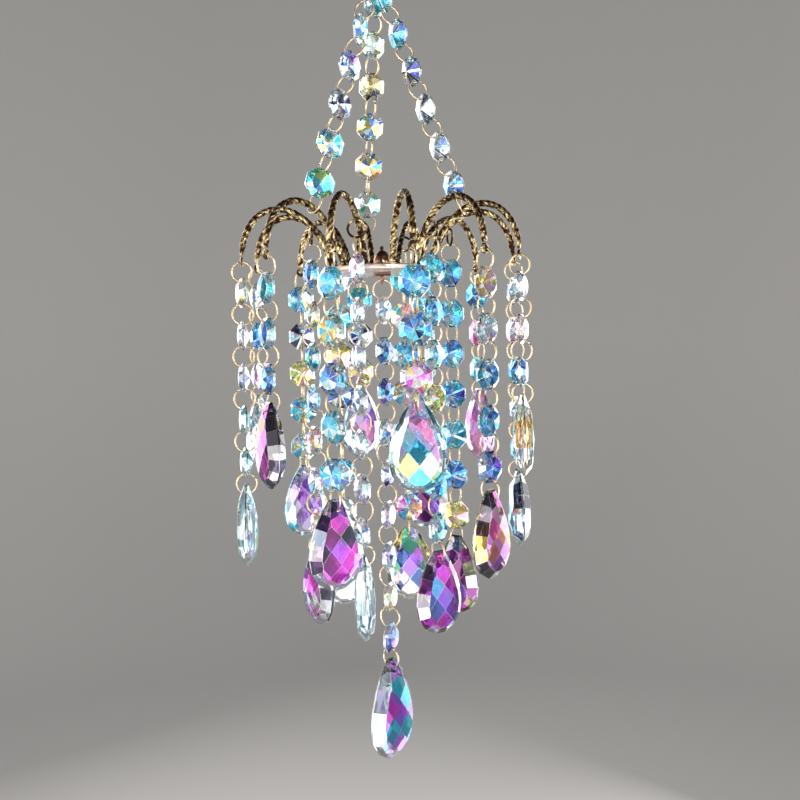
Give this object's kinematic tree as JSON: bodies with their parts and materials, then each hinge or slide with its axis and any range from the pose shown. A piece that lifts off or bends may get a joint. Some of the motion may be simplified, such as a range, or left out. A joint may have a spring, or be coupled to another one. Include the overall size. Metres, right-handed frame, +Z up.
{
  "type": "crystal suncatcher",
  "caption": "Hanging suncatcher: a crown of bent brass arms on three bead chains, with strands of octagon crystal beads that end in faceted pear drops.",
  "frame": {"origin": "inside top of the top ring, the point where the hook that carries the suncatcher bears", "axes": "+Z up along the hanging axis, -Y towards the viewer of the picture, +X to that viewer's right"},
  "size_m": [0.1436, 0.1453, 0.4112],
  "materials": {
    "gilt_brass": "twisted brass rod, bright gold plate with dark bronze hollows",
    "polished_hub": "polished rose gold plate",
    "ring_wire": "thin pale gold jump ring wire",
    "bead_crystal": "clear cut crystal with a rainbow coating, mostly aqua, blue and yellow",
    "drop_crystal": "clear cut crystal with a rainbow coating, mostly magenta, violet and aqua"
  },
  "bodies": {
    "root": {"top_ring": "gilt_brass", "hub": "polished_hub", "finial": "gilt_brass", "centre_hook": "gilt_brass", "arm_01": "gilt_brass", "arm_02": "gilt_brass", "arm_03": "gilt_brass", "arm_04": "gilt_brass", "arm_05": "gilt_brass", "arm_06": "gilt_brass", "arm_07": "gilt_brass", "arm_08": "gilt_brass", "arm_09": "gilt_brass", "arm_10": "gilt_brass", "arm_11": "gilt_brass", "arm_12": "gilt_brass", "outer_strand_01": "bead_crystal", "outer_strand_02": "bead_crystal", "outer_strand_03": "bead_crystal", "outer_strand_04": "bead_crystal", "outer_strand_05": "bead_crystal", "outer_strand_06": "bead_crystal", "outer_strand_07": "bead_crystal", "outer_strand_08": "bead_crystal", "outer_strand_09": "bead_crystal", "outer_strand_10": "bead_crystal", "outer_strand_11": "bead_crystal", "outer_strand_12": "bead_crystal", "outer_drop_01": "drop_crystal", "outer_drop_02": "drop_crystal", "outer_drop_03": "drop_crystal", "outer_drop_04": "drop_crystal", "outer_drop_05": "drop_crystal", "outer_drop_06": "drop_crystal", "outer_drop_07": "drop_crystal", "outer_drop_08": "drop_crystal", "outer_drop_09": "drop_crystal", "outer_drop_10": "drop_crystal", "outer_drop_11": "drop_crystal", "outer_drop_12": "drop_crystal", "inner_strand_01": "bead_crystal", "inner_strand_02": "bead_crystal", "inner_strand_03": "bead_crystal", "inner_strand_04": "bead_crystal", "inner_strand_05": "bead_crystal", "inner_strand_06": "bead_crystal", "inner_drop_01": "drop_crystal", "inner_drop_02": "drop_crystal", "inner_drop_03": "drop_crystal", "inner_drop_04": "drop_crystal", "inner_drop_05": "drop_crystal", "inner_drop_06": "drop_crystal", "centre_strand": "bead_crystal", "centre_drop": "drop_crystal", "chain_right": "bead_crystal", "chain_back": "bead_crystal", "chain_left": "bead_crystal"}
  },
  "joints": []
}
